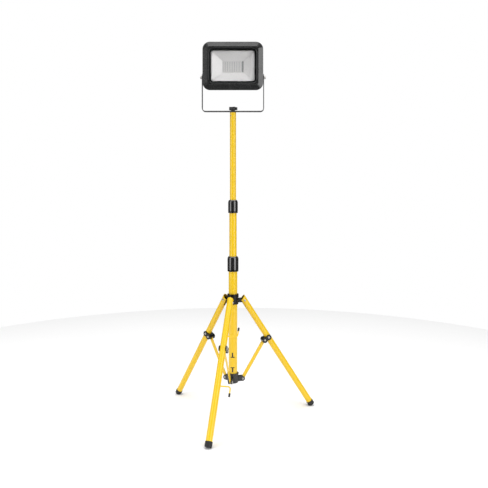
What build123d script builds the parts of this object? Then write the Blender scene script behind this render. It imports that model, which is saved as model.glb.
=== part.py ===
from build123d import *
import math
import os

# Tripod work light: one LED floodlight on a three-section telescopic mast, with three folding
# legs, drawn standing on its feet with the legs fully spread.
# Millimetres. The origin is on the floor under the mast, +Z is up and the lamp faces -Y.

os.makedirs("parts", exist_ok=True)

# ---------------------------------------------------------------- clearances shared by all fits
running_gap = 0.05          # radial, a rivet, bolt or screw turning in its hole
slide_gap = 0.08            # radial, a mast tube sliding in its bush or collar
free_gap = 0.4              # between pieces that only pass each other

# ---------------------------------------------------------------- mast
tube_wall = 1.2
lower_tube_d = 35.0
middle_tube_d = 30.0
top_tube_d = 25.0
lower_tube_bottom = 131.0
lower_tube_top = 618.0
middle_tube_bottom = 405.0
middle_tube_top = 850.0
top_tube_bottom = 788.0
top_tube_top = 1228.5

# ---------------------------------------------------------------- tripod
leg_azimuths = {"front": -13.7, "left": -133.7, "right": 106.3}     # from -Y, towards +X
leg_angle = 33.1            # between a spread leg and the vertical
leg_d = 25.0
leg_wall = 1.5
leg_top_outer = 18.0        # how far the tube reaches past the hub rivet, on its outer side
leg_top_inner = 8.0         # and on the side that faces the mast
leg_pivot_r = lower_tube_d / 2 + 30.0     # hub rivet, distance from the mast's centre line
leg_pivot_z = lower_tube_top - 157.0
leg_end_gap = 15.3          # from the tube's lower end to the floor, along the leg
leg_length = leg_pivot_z / math.cos(math.radians(leg_angle)) - leg_end_gap
saddle_station = 188.0      # down the leg from the hub rivet
brace_pin_r = lower_tube_d / 2 + 22.5     # brace rivet in the lower hub
brace_pin_z = lower_tube_bottom + 10.0
brace_width = 14.0
brace_thickness = 3.0
brace_offset = leg_d / 2 + brace_width / 2 + 0.5    # from the leg's centre line to the brace rivet
rivet_r = 3.0
rivet_head_r = 4.6
rivet_head_h = 1.8

# ---------------------------------------------------------------- lamp
lamp_pivot_z = top_tube_top + 144.0       # tilt bolts
lamp_center_z = lamp_pivot_z + 41.0
lamp_width = 245.0
lamp_height = 194.0
lamp_corner_r = 30.0
window_width = 178.0
window_height = 126.0
window_corner_r = 11.0
lamp_front = 38.0           # the bezel's front face, forward of the tilt bolts
bezel_depth = 16.0


def publish(block, name):
    """Label a finished piece and write its STEP file."""
    block.part.label = name
    export_step(block.part, f"parts/{name}.step")


def radial_plane(azimuth):
    """Upright plane through the mast's centre line: local x is the distance from it, y is height."""
    a = math.radians(azimuth)
    outward = (math.sin(a), -math.cos(a), 0)
    sideways = (-math.cos(a), -math.sin(a), 0)
    return Plane(origin=(0, 0, 0), x_dir=outward, z_dir=sideways)


def leg_plane(azimuth):
    """The same plane turned in line with the leg: origin at the hub rivet, local y up the leg."""
    base = radial_plane(azimuth)
    tilt = math.radians(leg_angle)
    across = base.x_dir * math.cos(tilt) + Vector(0, 0, 1) * math.sin(tilt)
    pivot = base.from_local_coords(Vector(leg_pivot_r, leg_pivot_z, 0))
    return Plane(origin=pivot, x_dir=across, z_dir=base.z_dir)


def along_leg(azimuth, station):
    """Plane square to the leg at a distance down it: its normal points down the leg."""
    side = leg_plane(azimuth)
    centre = side.from_local_coords(Vector(0, -station, 0))
    return Plane(origin=centre, x_dir=side.x_dir, z_dir=-side.y_dir)


# ================================================================ telescopic mast
# Three steel tubes, each sliding inside the one below.
with BuildPart() as lower_mast_tube:
    with BuildSketch(Plane.XY.offset(lower_tube_bottom)):
        Circle(lower_tube_d / 2)
        Circle(lower_tube_d / 2 - tube_wall, mode=Mode.SUBTRACT)
    extrude(amount=lower_tube_top - lower_tube_bottom)
publish(lower_mast_tube, "lower_mast_tube")

with BuildPart() as middle_mast_tube:
    with BuildSketch(Plane.XY.offset(middle_tube_bottom)):
        Circle(middle_tube_d / 2)
        Circle(middle_tube_d / 2 - tube_wall, mode=Mode.SUBTRACT)
    extrude(amount=middle_tube_top - middle_tube_bottom)
publish(middle_mast_tube, "middle_mast_tube")

# The plug rivet near the tube's end sits a little left of the front.
plug_rivet_r = 2.0
plug_rivet_drop = 13.0
plug_rivet_depth = 6.0
plug_rivet_plane = radial_plane(-43.0)
plug_rivet_axis = Plane(
    origin=(0, 0, top_tube_top - plug_rivet_drop), x_dir=(0, 0, 1), z_dir=plug_rivet_plane.x_dir
)

with BuildPart() as top_mast_tube:
    with BuildSketch(Plane.XY.offset(top_tube_bottom)):
        Circle(top_tube_d / 2)
        Circle(top_tube_d / 2 - tube_wall, mode=Mode.SUBTRACT)
    extrude(amount=top_tube_top - top_tube_bottom)
    with BuildSketch(plug_rivet_axis):
        Circle(plug_rivet_r)
    extrude(amount=top_tube_d, mode=Mode.SUBTRACT)
publish(top_mast_tube, "top_mast_tube")

# Plastic guide bushes on the lower ends of the two sliding tubes.
bush_length = 28.0
bush_lip = 3.0


def guide_bush(tube_d, tube_bottom, outer_tube_d, name):
    """A sleeve around a tube's lower end, with a lip under it, sliding in the next tube down."""
    running_r = outer_tube_d / 2 - tube_wall - slide_gap
    with BuildPart() as bush:
        with BuildSketch(Plane.XY.offset(tube_bottom - bush_lip)):
            Circle(running_r)
            Circle(tube_d / 2 - tube_wall, mode=Mode.SUBTRACT)
        extrude(amount=bush_lip + bush_length)
        with BuildSketch(Plane.XY.offset(tube_bottom)):
            Circle(tube_d / 2)
        extrude(amount=bush_length, mode=Mode.SUBTRACT)
    publish(bush, name)


guide_bush(middle_tube_d, middle_tube_bottom, lower_tube_d, "middle_guide_bush")
guide_bush(top_tube_d, top_tube_bottom, middle_tube_d, "top_guide_bush")

# ================================================================ twist collars
# Each collar is a split plastic seat pressed on the outer tube's end, and a threaded ring that
# turns on it and squeezes the jaws on the inner tube.
collar_flange = 6.0
seat_wall = 2.4
jaw_wall = 1.6
jaw_height = 10.0
jaw_slit = 1.4
jaw_slits = 4
jaw_lift = 1.3              # the jaws' foot above the outer tube's end
edge_break = 0.8
ring_clearance = 0.15
collar_dome = 7.0
grip_grooves = 12
grip_groove_r = 1.3
grip_groove_shift = 0.6     # each groove's centre, outside the ring


def twist_collar(outer_d, inner_d, tube_top, base_z, top_z, ring_d, prefix):
    """The seat and the ring of one twist collar, both turned about the mast's centre line."""
    sleeve_r = outer_d / 2 + seat_wall
    jaw_r = inner_d / 2 + jaw_wall
    jaw_base = tube_top + jaw_lift
    jaw_top = jaw_base + jaw_height
    ring_r = ring_d / 2
    ring_base = base_z + collar_flange + free_gap
    mouth_r = inner_d / 2 + free_gap
    with BuildPart() as seat:
        with BuildSketch(Plane.XZ):
            with BuildLine():
                Polyline(
                    (outer_d / 2, base_z),
                    (ring_r - edge_break, base_z),
                    (ring_r - 0.2, base_z + 1.0),
                    (ring_r - 0.2, base_z + collar_flange),
                    (sleeve_r, base_z + collar_flange),
                    (sleeve_r, jaw_base),
                    (jaw_r, jaw_top),
                    (inner_d / 2 + slide_gap, jaw_top),
                    (inner_d / 2 + slide_gap, tube_top),
                    (outer_d / 2, tube_top),
                    close=True,
                )
            make_face()
        revolve(axis=Axis.Z)
        with BuildSketch(Plane.XY.offset(tube_top + 1.0)):
            with PolarLocations(0, jaw_slits // 2, angular_range=180):
                Rectangle(4 * ring_r, jaw_slit)
        extrude(amount=2 * jaw_height, mode=Mode.SUBTRACT)
    publish(seat, f"{prefix}_collar_seat")

    with BuildPart() as ring:
        with BuildSketch(Plane.XZ):
            with BuildLine():
                Polyline(
                    (sleeve_r + ring_clearance, ring_base),
                    (ring_r - edge_break, ring_base),
                    (ring_r, ring_base + edge_break),
                    (ring_r, top_z - collar_dome),
                )
                ThreePointArc(
                    (ring_r, top_z - collar_dome),
                    (ring_r - 0.3 * collar_dome, top_z - 0.28 * collar_dome),
                    (mouth_r + 1.2, top_z),
                )
                Polyline(
                    (mouth_r + 1.2, top_z),
                    (mouth_r, top_z),
                    (mouth_r, jaw_top + 1.0),
                    (jaw_r + ring_clearance, jaw_top + 1.0),
                    (jaw_r + ring_clearance, jaw_top),
                    (sleeve_r + ring_clearance, jaw_base),
                    (sleeve_r + ring_clearance, ring_base),
                )
            make_face()
        revolve(axis=Axis.Z)
        with BuildSketch(Plane.XY.offset(ring_base)):
            with PolarLocations(ring_r + grip_groove_shift, grip_grooves):
                Circle(grip_groove_r)
        extrude(amount=top_z - collar_dome - ring_base - 4.0, mode=Mode.SUBTRACT)
    publish(ring, f"{prefix}_collar_ring")


# How far each collar reaches below and above its tube's end, and its ring's wall on the tube.
lower_collar_reach = (37.0, 24.0)
upper_collar_reach = (31.0, 22.0)
lower_ring_wall = 5.0
upper_ring_wall = 4.75
twist_collar(
    lower_tube_d, middle_tube_d, lower_tube_top, lower_tube_top - lower_collar_reach[0],
    lower_tube_top + lower_collar_reach[1], lower_tube_d + 2 * lower_ring_wall, "lower",
)
twist_collar(
    middle_tube_d, top_tube_d, middle_tube_top, middle_tube_top - upper_collar_reach[0],
    middle_tube_top + upper_collar_reach[1], middle_tube_d + 2 * upper_ring_wall, "upper",
)

# ================================================================ lower hub
# Moulded cup on the mast's foot, with a fork for each brace.
hub_wall = 4.5
lower_hub_r = lower_tube_d / 2 + hub_wall
lower_hub_floor = 4.0
lower_hub_top = lower_tube_bottom + 36.0
fork_r = 9.0
fork_width = 16.0
fork_gap = brace_thickness + 2 * free_gap
fork_root_r = brace_pin_r - brace_width / 2 - 1.5      # the slot's inner end, clear of the brace
lower_hub_rim = 1.6
lower_hub_flare = 8.0
lower_hub_edge_r = 5.0
fork_step = 1.5             # the fork's cheeks rise this far above its round end

with BuildPart() as lower_hub:
    with BuildSketch(Plane.XY.offset(lower_tube_bottom - lower_hub_floor)):
        Circle(lower_hub_r)
    extrude(amount=lower_hub_top - lower_tube_bottom + lower_hub_floor)
    fillet(lower_hub.edges().group_by(Axis.Z)[0], radius=lower_hub_edge_r)
    with BuildSketch(Plane.XY.offset(lower_hub_top - lower_hub_flare)):
        Circle(lower_hub_r)
    extrude(amount=lower_hub_flare, taper=-math.degrees(math.atan2(lower_hub_rim, lower_hub_flare)))
    for azimuth in leg_azimuths.values():
        with BuildSketch(radial_plane(azimuth)):
            with Locations((brace_pin_r, brace_pin_z)):
                Circle(fork_r)
            with Locations((brace_pin_r / 2, brace_pin_z + fork_step)):
                Rectangle(brace_pin_r, 2 * fork_r + 2 * fork_step)
        extrude(amount=fork_width / 2, both=True)
    for azimuth in leg_azimuths.values():
        with BuildSketch(radial_plane(azimuth)):
            with Locations((fork_root_r + fork_r + brace_width / 2, brace_pin_z)):
                Rectangle(2 * fork_r + brace_width, 4 * fork_r)
        extrude(amount=fork_gap / 2, both=True, mode=Mode.SUBTRACT)
        with BuildSketch(radial_plane(azimuth)):
            with Locations((brace_pin_r, brace_pin_z)):
                Circle(rivet_r)
        extrude(amount=fork_width, both=True, mode=Mode.SUBTRACT)
    with BuildSketch(Plane.XY.offset(lower_tube_bottom)):
        Circle(lower_tube_d / 2)
    extrude(amount=lower_hub_top, mode=Mode.SUBTRACT)
publish(lower_hub, "lower_hub")


def rivet(plane, center, half_grip):
    """Shank and two domed heads across a plane, gripping from -half_grip to +half_grip."""
    with BuildPart() as fastener:
        with BuildSketch(plane):
            with Locations(center):
                Circle(rivet_r)
        extrude(amount=half_grip + rivet_head_h / 2, both=True)
        for direction in (1, -1):
            with BuildSketch(plane.offset(direction * half_grip)):
                with Locations(center):
                    Circle(rivet_head_r)
            extrude(amount=direction * rivet_head_h, taper=35.0)
    return fastener


fork_rivets = [
    rivet(radial_plane(azimuth), (brace_pin_r, brace_pin_z), fork_width / 2).part
    for azimuth in leg_azimuths.values()
]
with BuildPart() as lower_hub_rivets:
    add(fork_rivets)
publish(lower_hub_rivets, "lower_hub_rivets")

# ================================================================ sliding hub
# Moulded sleeve that slides on the lower mast tube and carries an ear for each leg. Each ear is
# notched from above for the leg's rivet, and a knob at the back clamps the sleeve on the tube.
hub_r = lower_tube_d / 2 + hub_wall
hub_bottom = leg_pivot_z - 13.0
hub_top = leg_pivot_z + 28.0
hub_rim = 1.2
hub_rim_height = 12.0
ear_r = 8.0
ear_step = 1.0              # the ear's web rises this far above its round end
ear_thickness = 9.0
ear_slot = 10.0             # width of the slot in the leg tube that takes the ear
notch_half_width = rivet_r + 0.9
knob_azimuth = 180.0
knob_boss_r = 9.0
knob_boss_reach = 9.0       # the knob's boss stands this far off the sleeve
knob_boss_end = hub_r + knob_boss_reach
knob_z = leg_pivot_z + 5.0
screw_r = 4.0
screw_hole_gap = 0.5        # radial, a screw passing through a moulding
insert_r = 6.0
insert_length = 8.0

knob_axis = Plane(origin=(0, 0, knob_z), x_dir=(1, 0, 0), z_dir=radial_plane(knob_azimuth).x_dir)

with BuildPart() as leg_hub:
    with BuildSketch(Plane.XY.offset(hub_bottom)):
        Circle(hub_r)
    extrude(amount=hub_top - hub_bottom)
    with BuildSketch(Plane.XY.offset(hub_top - hub_rim_height - 1.0)):
        Circle(hub_r + hub_rim)
    extrude(amount=hub_rim_height)
    with BuildSketch(knob_axis):
        Circle(knob_boss_r)
    extrude(amount=knob_boss_end)
    for azimuth in leg_azimuths.values():
        with BuildSketch(radial_plane(azimuth)):
            with Locations((leg_pivot_r, leg_pivot_z)):
                Circle(ear_r)
            with Locations((leg_pivot_r / 2, leg_pivot_z + ear_step)):
                Rectangle(leg_pivot_r, 2 * ear_r + 2 * ear_step)
        extrude(amount=ear_thickness / 2, both=True)
    for azimuth in leg_azimuths.values():
        with BuildSketch(radial_plane(azimuth)):
            with Locations((leg_pivot_r, leg_pivot_z)):
                Circle(rivet_r + running_gap)
            with Locations((leg_pivot_r, leg_pivot_z + ear_r + notch_half_width)):
                Rectangle(2 * notch_half_width, 2 * ear_r + 2 * notch_half_width)
        extrude(amount=ear_thickness, both=True, mode=Mode.SUBTRACT)
    with BuildSketch(Plane.XY.offset(hub_bottom)):
        Circle(lower_tube_d / 2 + slide_gap)
    extrude(amount=hub_top - hub_bottom, mode=Mode.SUBTRACT)
    with BuildSketch(knob_axis):
        Circle(screw_r + screw_hole_gap)
    extrude(amount=knob_boss_end, mode=Mode.SUBTRACT)
    with BuildSketch(knob_axis.offset(knob_boss_end - insert_length)):
        Circle(insert_r)
    extrude(amount=insert_length, mode=Mode.SUBTRACT)
publish(leg_hub, "leg_hub")

with BuildPart() as hub_knob_insert:
    with BuildSketch(knob_axis.offset(knob_boss_end - insert_length)):
        Circle(insert_r)
        Circle(screw_r + running_gap, mode=Mode.SUBTRACT)
    extrude(amount=insert_length)
publish(hub_knob_insert, "hub_knob_insert")


def star_knob(plane, radius, height, neck_r, neck_height):
    """Lobed hand knob on a short neck, bored for its screw, growing along the plane's normal."""
    with BuildPart() as knob:
        with BuildSketch(plane.offset(neck_height)):
            Circle(0.72 * radius)
            with PolarLocations(0.70 * radius, knob_lobes):
                Circle(0.30 * radius)
        extrude(amount=height)
        fillet(knob.faces().filter_by(plane).edges(), radius=knob_edge_r)
        with BuildSketch(plane):
            Circle(neck_r)
        extrude(amount=neck_height + height / 2)
        with BuildSketch(plane):
            Circle(screw_r)
        extrude(amount=neck_height + knob_bore_share * height, mode=Mode.SUBTRACT)
    return knob


knob_edge_r = 1.5
knob_lobes = 5
knob_bore_share = 0.7       # how much of the head's height its screw fills
hub_knob_r = 14.0
hub_knob_height = 10.0
hub_knob_neck_r = 7.0
hub_knob_neck = 3.0
knob_seat = knob_boss_end + free_gap
hub_clamp_knob = star_knob(
    knob_axis.offset(knob_seat), hub_knob_r, hub_knob_height, hub_knob_neck_r, hub_knob_neck
)
publish(hub_clamp_knob, "hub_clamp_knob")

with BuildPart() as hub_clamp_screw:
    tip = lower_tube_d / 2 + running_gap
    with BuildSketch(knob_axis.offset(tip)):
        Circle(screw_r)
    extrude(amount=knob_seat + hub_knob_neck + knob_bore_share * hub_knob_height - tip)
publish(hub_clamp_screw, "hub_clamp_screw")

# ================================================================ legs
# Each leg is a steel tube slotted at the top for the hub's ear. A moulded saddle bolted to it
# takes the brace, and a plastic cap closes its foot.
saddle_wall = 3.0
saddle_half = leg_d / 2 + saddle_wall
saddle_boss_r = 11.0
saddle_waist = 2.0          # the web between the bosses is this much lower on each side
saddle_cover = 4.0          # how far the saddle's cheeks reach past the tube's centre line
saddle_gap = brace_thickness + 2 * free_gap
strip_end_gap = 0.6
cap_wall = 1.3
cap_grip = 21.0             # how far the cap reaches up the tube
cap_sole = 9.0
cap_edge_r = 2.5
cap_start = leg_length - cap_grip
cap_end = leg_length + cap_sole
ear_slot_depth = 23.0       # the slot runs this far below the hub rivet
slant_reach = leg_d         # half-width of the block that trims the tube's slanted end

hook_wire_r = 2.5
hook_arm = 38.0             # from the tube's surface to the hook's upright
hook_rise = 34.0
hook_bend_r = 9.0
hook_tip_r = 3.6
hook_tip_length = 13.0
hook_tip_end = 2.5          # thickness of the tip beyond the wire
hook_stations = {139.0: 1, 330.0: -1}       # station down the front leg, and which way it turns
hook_seat = 3.0             # the wire passes this far into the tube's wall hole
hook_azimuth = leg_azimuths["front"]

saddle_pin = (-brace_offset, -saddle_station)
saddle_axis = (0, -saddle_station)

for name, azimuth in leg_azimuths.items():
    side = leg_plane(azimuth)

    with BuildPart() as leg_tube:
        with BuildSketch(along_leg(azimuth, -leg_top_outer)):
            Circle(leg_d / 2)
            Circle(leg_d / 2 - leg_wall, mode=Mode.SUBTRACT)
        extrude(amount=leg_top_outer + leg_length)
        with BuildSketch(side):
            with BuildLine():
                Polyline(
                    (leg_d / 2, leg_top_outer),
                    (-leg_d / 2, leg_top_inner),
                    (-slant_reach, leg_top_inner),
                    (-slant_reach, leg_top_outer + 1.0),
                    (leg_d / 2, leg_top_outer + 1.0),
                    close=True,
                )
            make_face()
        extrude(amount=leg_d, both=True, mode=Mode.SUBTRACT)
        with BuildSketch(side):
            with Locations((-leg_d / 2, (leg_top_outer - ear_slot_depth) / 2)):
                Rectangle(leg_d, leg_top_outer + ear_slot_depth)
        extrude(amount=ear_slot / 2, both=True, mode=Mode.SUBTRACT)
        with BuildSketch(side):
            with Locations((0, 0), saddle_axis):
                Circle(rivet_r)
        extrude(amount=leg_d, both=True, mode=Mode.SUBTRACT)
        if name == "front":
            with BuildSketch(side):
                with Locations(*[(0, -station) for station in hook_stations]):
                    Circle(hook_wire_r)
            extrude(amount=-leg_d, mode=Mode.SUBTRACT)
    publish(leg_tube, f"leg_tube_{name}")

    publish(rivet(side, (0, 0), leg_d / 2), f"leg_rivet_{name}")

    with BuildPart() as saddle:
        with BuildSketch(side):
            with Locations(saddle_axis, saddle_pin):
                Circle(saddle_boss_r)
            with Locations((-brace_offset / 2, -saddle_station)):
                Rectangle(brace_offset, 2 * saddle_boss_r - 2 * saddle_waist)
        extrude(amount=saddle_half, both=True)
        with BuildSketch(side):
            with Locations((saddle_cover + leg_d, -saddle_station)):
                Rectangle(2 * leg_d, 4 * saddle_boss_r)
        extrude(amount=leg_d / 2, both=True, mode=Mode.SUBTRACT)
        with BuildSketch(side):
            with Locations((-brace_offset - saddle_boss_r, -saddle_station - 2 * saddle_boss_r)):
                Rectangle(
                    2 * (brace_offset + saddle_boss_r),
                    4 * saddle_boss_r + 2 * (brace_width / 2 + strip_end_gap),
                )
        extrude(amount=saddle_gap / 2, both=True, mode=Mode.SUBTRACT)
        with BuildSketch(along_leg(azimuth, saddle_station - 2 * saddle_boss_r)):
            Circle(leg_d / 2)
        extrude(amount=4 * saddle_boss_r, mode=Mode.SUBTRACT)
        with BuildSketch(side):
            with Locations(saddle_axis, saddle_pin):
                Circle(rivet_r)
        extrude(amount=2 * saddle_half, both=True, mode=Mode.SUBTRACT)
    publish(saddle, f"saddle_{name}")

    publish(rivet(side, saddle_axis, saddle_half), f"saddle_bolt_{name}")
    publish(rivet(side, saddle_pin, saddle_half), f"brace_rivet_{name}")

    with BuildPart() as foot_cap:
        with BuildSketch(along_leg(azimuth, cap_start)):
            Circle(leg_d / 2 + cap_wall)
        extrude(amount=cap_end - cap_start)
        fillet(foot_cap.edges().sort_by(Axis.Z)[0], radius=cap_edge_r)
        with BuildSketch(along_leg(azimuth, cap_start)):
            Circle(leg_d / 2)
        extrude(amount=leg_length - cap_start, mode=Mode.SUBTRACT)
        split(bisect_by=Plane.XY, keep=Keep.TOP)
    publish(foot_cap, f"foot_cap_{name}")

    upper_pin = side.from_local_coords(Vector(-brace_offset, -saddle_station, 0))
    upper_local = radial_plane(azimuth).to_local_coords(upper_pin)
    brace_rise = upper_local.Y - brace_pin_z
    brace_run = upper_local.X - brace_pin_r
    with BuildPart() as brace:
        with BuildSketch(radial_plane(azimuth)):
            with Locations((brace_pin_r + brace_run / 2, brace_pin_z + brace_rise / 2)):
                SlotCenterToCenter(
                    math.hypot(brace_run, brace_rise),
                    brace_width,
                    rotation=math.degrees(math.atan2(brace_rise, brace_run)),
                )
            with Locations((brace_pin_r, brace_pin_z), (upper_local.X, upper_local.Y)):
                Circle(rivet_r + running_gap, mode=Mode.SUBTRACT)
        extrude(amount=brace_thickness / 2, both=True)
    publish(brace, f"brace_{name}")

# ================================================================ cable hooks
# Two bent wires on the front leg, one turned up and one down, with a soft tip on each end. The
# supply lead is wound between them.
hook_side = leg_plane(hook_azimuth)


def hook_path_points(station, turn):
    """The wire's corner points: inside the tube, at the bend, and at the free end."""
    start = hook_side.from_local_coords(Vector(0, -station, -(leg_d / 2 - hook_seat)))
    corner = hook_side.from_local_coords(Vector(0, -station, -(leg_d / 2 + hook_arm)))
    end = hook_side.from_local_coords(Vector(0, -station + turn * hook_rise, -(leg_d / 2 + hook_arm)))
    return start, corner, end


with BuildPart() as cable_hooks:
    for station, turn in hook_stations.items():
        start, corner, end = hook_path_points(station, turn)
        with BuildLine():
            FilletPolyline(start, corner, end, radius=hook_bend_r)
        with BuildSketch(Plane(origin=start, z_dir=corner - start)):
            Circle(hook_wire_r)
        sweep()
publish(cable_hooks, "cable_hooks")

with BuildPart() as hook_tips:
    for station, turn in hook_stations.items():
        start, corner, end = hook_path_points(station, turn)
        upright = (end - corner).normalized()
        cover = hook_tip_length - hook_tip_end
        with BuildSketch(Plane(origin=end - upright * cover, z_dir=upright)):
            Circle(hook_tip_r)
        extrude(amount=hook_tip_length)
        with BuildSketch(Plane(origin=end - upright * cover, z_dir=upright)):
            Circle(hook_wire_r)
        extrude(amount=cover, mode=Mode.SUBTRACT)
publish(hook_tips, "hook_tips")

# ================================================================ mast head and yoke
# A plastic plug closes the top tube. The knob's screw passes through the yoke into the plug.
plug_flange = 2.8
plug_length = 30.0
yoke_thickness = 2.8
yoke_width = 26.0
yoke_inner = lamp_width + 2.6
yoke_bend_r = 12.0
yoke_top_reach = 14.0
yoke_end_r = 12.5
head_gap = 0.3              # under the yoke and under its knob
yoke_bottom = top_tube_top + plug_flange + head_gap
yoke_knob_r = 18.0
yoke_knob_height = 12.0
yoke_knob_neck_r = 8.0
yoke_knob_neck = 4.0
yoke_screw_depth = 24.0
plug_insert_r = 6.5
plug_insert_length = 14.0

with BuildPart() as mast_plug:
    with BuildSketch(Plane.XY.offset(top_tube_top - plug_length)):
        Circle(top_tube_d / 2 - tube_wall)
    extrude(amount=plug_length)
    with BuildSketch(Plane.XY.offset(top_tube_top)):
        Circle(top_tube_d / 2)
    extrude(amount=plug_flange)
    with BuildSketch(Plane.XY.offset(top_tube_top + plug_flange - plug_insert_length)):
        Circle(plug_insert_r)
    extrude(amount=plug_insert_length, mode=Mode.SUBTRACT)
    with BuildSketch(Plane.XY.offset(top_tube_top + plug_flange - yoke_screw_depth - 1.0)):
        Circle(screw_r + screw_hole_gap)
    extrude(amount=yoke_screw_depth, mode=Mode.SUBTRACT)
    with BuildSketch(plug_rivet_axis.offset(top_tube_d / 2 - plug_rivet_depth)):
        Circle(plug_rivet_r)
    extrude(amount=plug_rivet_depth, mode=Mode.SUBTRACT)
publish(mast_plug, "mast_plug")

with BuildPart() as plug_rivet:
    with BuildSketch(plug_rivet_axis.offset(top_tube_d / 2 - plug_rivet_depth)):
        Circle(plug_rivet_r)
    extrude(amount=plug_rivet_depth)
publish(plug_rivet, "plug_rivet")

with BuildPart() as plug_insert:
    with BuildSketch(Plane.XY.offset(top_tube_top + plug_flange - plug_insert_length)):
        Circle(plug_insert_r)
        Circle(screw_r + running_gap, mode=Mode.SUBTRACT)
    extrude(amount=plug_insert_length)
publish(plug_insert, "plug_insert")

with BuildPart() as yoke:
    arm_top = lamp_pivot_z + yoke_top_reach
    with BuildSketch(Plane.XZ) as yoke_outline:
        with Locations((0, (yoke_bottom + arm_top) / 2)):
            Rectangle(yoke_inner + 2 * yoke_thickness, arm_top - yoke_bottom)
        fillet(yoke_outline.vertices().group_by(Axis.Y)[0], radius=yoke_bend_r + yoke_thickness)
    extrude(amount=yoke_width / 2, both=True)
    with BuildSketch(Plane.XZ) as yoke_inside:
        with Locations((0, (yoke_bottom + yoke_thickness + arm_top) / 2 + yoke_top_reach)):
            Rectangle(yoke_inner, arm_top - yoke_bottom - yoke_thickness + 2 * yoke_top_reach)
        fillet(yoke_inside.vertices().group_by(Axis.Y)[0], radius=yoke_bend_r)
    extrude(amount=yoke_width, both=True, mode=Mode.SUBTRACT)
    fillet(yoke.edges().filter_by(Axis.X).group_by(Axis.Z)[-1], radius=yoke_end_r)
    with BuildSketch(Plane.YZ.offset(-yoke_inner)):
        with Locations((0, lamp_pivot_z)):
            Circle(screw_r + running_gap)
    extrude(amount=2 * yoke_inner, mode=Mode.SUBTRACT)
    with BuildSketch(Plane.XY.offset(yoke_bottom)):
        Circle(screw_r + running_gap)
    extrude(amount=yoke_thickness, mode=Mode.SUBTRACT)
publish(yoke, "yoke")

knob_seat_z = yoke_bottom + yoke_thickness + head_gap
yoke_knob = star_knob(
    Plane.XY.offset(knob_seat_z), yoke_knob_r, yoke_knob_height, yoke_knob_neck_r, yoke_knob_neck
)
publish(yoke_knob, "yoke_knob")

with BuildPart() as yoke_screw:
    screw_bottom = top_tube_top + plug_flange - yoke_screw_depth
    with BuildSketch(Plane.XY.offset(screw_bottom)):
        Circle(screw_r)
    extrude(amount=knob_seat_z + yoke_knob_neck + knob_bore_share * yoke_knob_height - screw_bottom)
publish(yoke_screw, "yoke_screw")

# ================================================================ floodlight
# A die-cast tray with cooling fins and a side ear for each tilt bolt, closed in front by a
# bezel, gasket and toughened glass. A faceted reflector surrounds the LED board.
glass_thickness = 3.5
glass_margin = 5.0
glass_gap = 0.5
lip_thickness = 1.6
bezel_wall = 3.0
tray_wall = 3.5
bevel_depth = 6.0
bevel_width = 19.0
border_width = 8.0
border_depth = 4.4
gasket_thickness = 2.0
bezel_back = lamp_front - bezel_depth
glass_front = lamp_front - border_depth - lip_thickness
glass_back = glass_front - glass_thickness
rim_front = glass_back - gasket_thickness
tray_inset = 4.0
tray_back = 3.0
tray_floor = 5.0
board_thickness = 1.6
board_width = 100.0
board_height = 62.0
led_window_width = 86.0
led_window_height = 48.0
reflector_rim = 3.0
mouth_corner_r = 8.0
reflector_wall = 1.0
fin_height = 15.0
fin_thickness = 2.4
fin_count = 19
fin_pitch = 11.6
fin_span = 150.0
fin_root = 1.0              # they run this far into the tray's back
fin_clearance = 4.0         # above the driver cover
driver_width = 112.0
driver_height = 72.0
driver_depth = 26.0
driver_wall = 2.5
driver_corner_r = 8.0
driver_boss = 14.0          # side of the solid corner left for each screw
driver_bevel = 3.0
cover_screw_head_h = 2.2
driver_air = 4.0            # between the driver and its cover's back
driver_center_z = lamp_center_z - 27.5
ear_outer = lamp_width / 2 - 0.5
ear_inner = ear_outer - 10.0
ear_half_height = 22.0
ear_back_half = 6.0         # half-height of the ear's flat back
ear_back = 8.0              # how far the ear reaches behind the tilt bolts
ear_root = 1.0              # it runs this far into the tray's rim
wire_hole_r = 5.0
bezel_screw_r = 2.0
bezel_screw_head_r = 3.6
bezel_screw_head_h = 2.6
bezel_screw_sink = 3.0      # depth of the recess for its head
bezel_screw_margin = 1.5    # outwards from the middle of the rim
bezel_screw_cover = 10.0    # left in front of its end
tilt_washer_t = 1.5
tilt_bolt_reach = 12.0
washer_r = 8.5
washer_gap = 0.2
hex_head_r = 7.5
hex_head_h = 5.3


def lamp_plane(depth):
    """Plane facing the front, this far forward of the tilt bolts (behind them if negative)."""
    return Plane.XZ.offset(depth)


def lamp_rectangle(width, height, corner_r, mode=Mode.ADD):
    with Locations((0, lamp_center_z)):
        RectangleRounded(width, height, corner_r, mode=mode)


tray_width = lamp_width - 2 * tray_inset
tray_height = lamp_height - 2 * tray_inset
glass_width = window_width + 2 * glass_margin
glass_height = window_height + 2 * glass_margin
glass_corner_r = window_corner_r + glass_margin
screw_x = (lamp_width + window_width) / 4 + bezel_screw_margin
screw_z = (lamp_height + window_height) / 4 + bezel_screw_margin
bezel_screw_spots = [(sx * screw_x, lamp_center_z + sz * screw_z) for sx in (-1, 1) for sz in (-1, 1)]
bezel_screw_spots += [(0, lamp_center_z + sz * screw_z) for sz in (-1, 1)]
bezel_screw_end = lamp_front - bezel_screw_cover

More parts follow.
